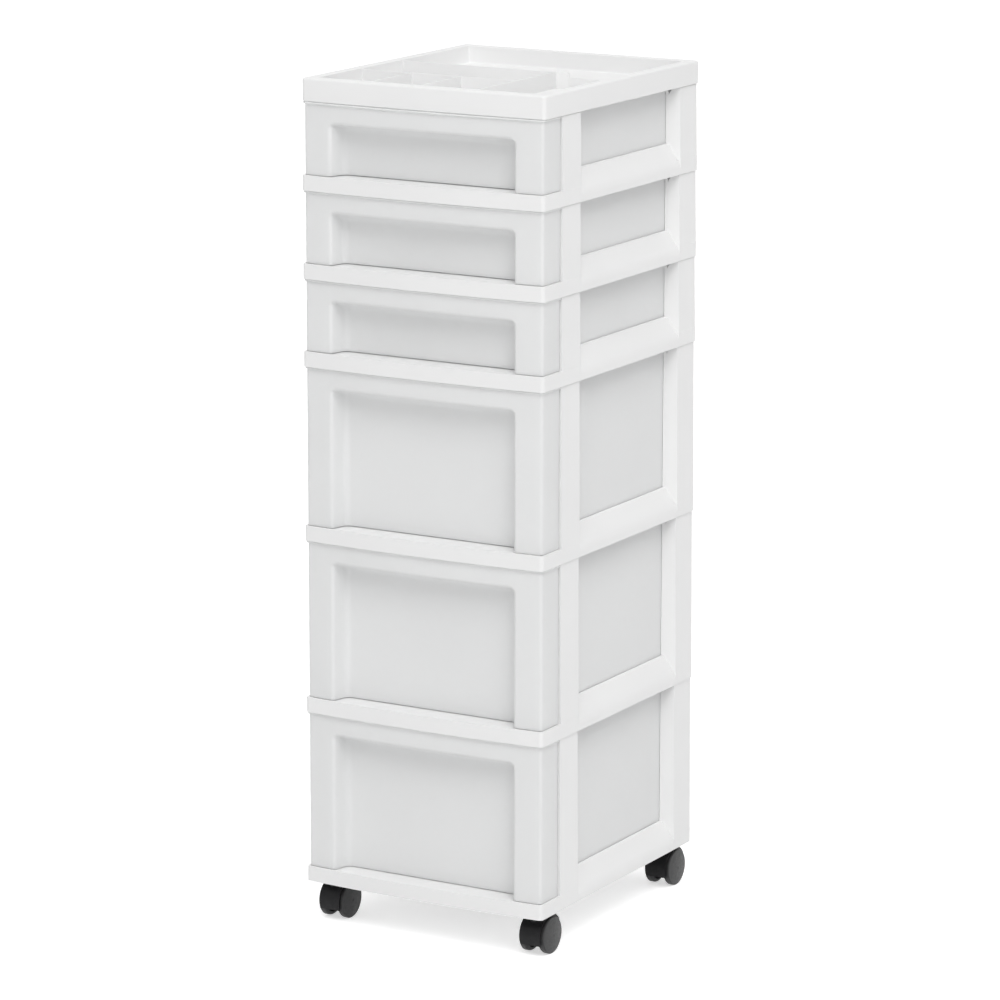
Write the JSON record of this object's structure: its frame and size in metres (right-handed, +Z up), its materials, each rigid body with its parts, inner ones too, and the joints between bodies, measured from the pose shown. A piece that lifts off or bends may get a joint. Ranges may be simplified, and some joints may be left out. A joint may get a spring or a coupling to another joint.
{
  "type": "rolling drawer tower",
  "caption": "Tall white drawer tower on swivel casters: frosted pull-out drawers, deep ones below and shallow ones above, in stacked open-sided frames under a divided organizer tray.",
  "frame": {"origin": "on the ground, at the centre of the bounding box's bottom, under the middle of the tower", "axes": "+X to the right as seen from the front, -Y out of the front, in which the drawers open, +Z up"},
  "size_m": [0.3094, 0.367, 0.9735],
  "materials": {
    "white_plastic": "satin white opaque polypropylene",
    "frosted_plastic": "frosted translucent polypropylene, satin",
    "black_plastic": "semi-gloss black nylon",
    "wheel_plastic": "satin dark grey nylon",
    "steel": "plated steel"
  },
  "bodies": {
    "tower": {"organizer_top": "white_plastic", "deep_frame_bottom": "white_plastic", "deep_frame_middle": "white_plastic", "deep_frame_top": "white_plastic", "shallow_frame_bottom": "white_plastic", "shallow_frame_middle": "white_plastic", "shallow_frame_top": "white_plastic", "front_left_stem": "steel", "front_left_grip_ring": "steel", "front_right_stem": "steel", "front_right_grip_ring": "steel", "rear_left_stem": "steel", "rear_left_grip_ring": "steel", "rear_right_stem": "steel", "rear_right_grip_ring": "steel"},
    "deep_drawer_bottom": {"deep_drawer_bottom": "frosted_plastic"},
    "deep_drawer_middle": {"deep_drawer_middle": "frosted_plastic"},
    "deep_drawer_top": {"deep_drawer_top": "frosted_plastic"},
    "shallow_drawer_bottom": {"shallow_drawer_bottom": "frosted_plastic"},
    "shallow_drawer_middle": {"shallow_drawer_middle": "frosted_plastic"},
    "shallow_drawer_top": {"shallow_drawer_top": "frosted_plastic"},
    "front_left_caster": {"front_left_housing": "black_plastic", "front_left_axle": "steel"},
    "front_left_wheel_left": {"front_left_wheel_left": "wheel_plastic"},
    "front_left_wheel_right": {"front_left_wheel_right": "wheel_plastic"},
    "front_right_caster": {"front_right_housing": "black_plastic", "front_right_axle": "steel"},
    "front_right_wheel_left": {"front_right_wheel_left": "wheel_plastic"},
    "front_right_wheel_right": {"front_right_wheel_right": "wheel_plastic"},
    "rear_left_caster": {"rear_left_housing": "black_plastic", "rear_left_axle": "steel"},
    "rear_left_wheel_left": {"rear_left_wheel_left": "wheel_plastic"},
    "rear_left_wheel_right": {"rear_left_wheel_right": "wheel_plastic"},
    "rear_right_caster": {"rear_right_housing": "black_plastic", "rear_right_axle": "steel"},
    "rear_right_wheel_left": {"rear_right_wheel_left": "wheel_plastic"},
    "rear_right_wheel_right": {"rear_right_wheel_right": "wheel_plastic"}
  },
  "joints": [
    {"name": "deep_drawer_bottom_slide", "type": "slide", "parent": "tower", "child": "deep_drawer_bottom", "axis": [0, -1, 0], "range_m": [0, 0.2365]},
    {"name": "deep_drawer_middle_slide", "type": "slide", "parent": "tower", "child": "deep_drawer_middle", "axis": [0, -1, 0], "range_m": [0, 0.2365]},
    {"name": "deep_drawer_top_slide", "type": "slide", "parent": "tower", "child": "deep_drawer_top", "axis": [0, -1, 0], "range_m": [0, 0.2365]},
    {"name": "shallow_drawer_bottom_slide", "type": "slide", "parent": "tower", "child": "shallow_drawer_bottom", "axis": [0, -1, 0], "range_m": [0, 0.2365]},
    {"name": "shallow_drawer_middle_slide", "type": "slide", "parent": "tower", "child": "shallow_drawer_middle", "axis": [0, -1, 0], "range_m": [0, 0.2365]},
    {"name": "shallow_drawer_top_slide", "type": "slide", "parent": "tower", "child": "shallow_drawer_top", "axis": [0, -1, 0], "range_m": [0, 0.2365]},
    {"name": "front_left_caster_swivel", "type": "hinge", "parent": "tower", "child": "front_left_caster", "pos_m": [-0.1323, -0.1503, 0.0215], "axis": [0, 0, 1], "continuous": true},
    {"name": "front_left_wheel_left_spin", "type": "hinge", "parent": "front_left_caster", "child": "front_left_wheel_left", "pos_m": [-0.1323, -0.1405, 0.0215], "axis": [1, 0, 0], "continuous": true},
    {"name": "front_left_wheel_right_spin", "type": "hinge", "parent": "front_left_caster", "child": "front_left_wheel_right", "pos_m": [-0.1323, -0.1405, 0.0215], "axis": [1, 0, 0], "continuous": true},
    {"name": "front_right_caster_swivel", "type": "hinge", "parent": "tower", "child": "front_right_caster", "pos_m": [0.1323, -0.1503, 0.0215], "axis": [0, 0, 1], "continuous": true},
    {"name": "front_right_wheel_left_spin", "type": "hinge", "parent": "front_right_caster", "child": "front_right_wheel_left", "pos_m": [0.1323, -0.1405, 0.0215], "axis": [1, 0, 0], "continuous": true},
    {"name": "front_right_wheel_right_spin", "type": "hinge", "parent": "front_right_caster", "child": "front_right_wheel_right", "pos_m": [0.1323, -0.1405, 0.0215], "axis": [1, 0, 0], "continuous": true},
    {"name": "rear_left_caster_swivel", "type": "hinge", "parent": "tower", "child": "rear_left_caster", "pos_m": [-0.1323, 0.1497, 0.0215], "axis": [0, 0, 1], "continuous": true},
    {"name": "rear_left_wheel_left_spin", "type": "hinge", "parent": "rear_left_caster", "child": "rear_left_wheel_left", "pos_m": [-0.1323, 0.1595, 0.0215], "axis": [1, 0, 0], "continuous": true},
    {"name": "rear_left_wheel_right_spin", "type": "hinge", "parent": "rear_left_caster", "child": "rear_left_wheel_right", "pos_m": [-0.1323, 0.1595, 0.0215], "axis": [1, 0, 0], "continuous": true},
    {"name": "rear_right_caster_swivel", "type": "hinge", "parent": "tower", "child": "rear_right_caster", "pos_m": [0.1323, 0.1497, 0.0215], "axis": [0, 0, 1], "continuous": true},
    {"name": "rear_right_wheel_left_spin", "type": "hinge", "parent": "rear_right_caster", "child": "rear_right_wheel_left", "pos_m": [0.1323, 0.1595, 0.0215], "axis": [1, 0, 0], "continuous": true},
    {"name": "rear_right_wheel_right_spin", "type": "hinge", "parent": "rear_right_caster", "child": "rear_right_wheel_right", "pos_m": [0.1323, 0.1595, 0.0215], "axis": [1, 0, 0], "continuous": true}
  ]
}
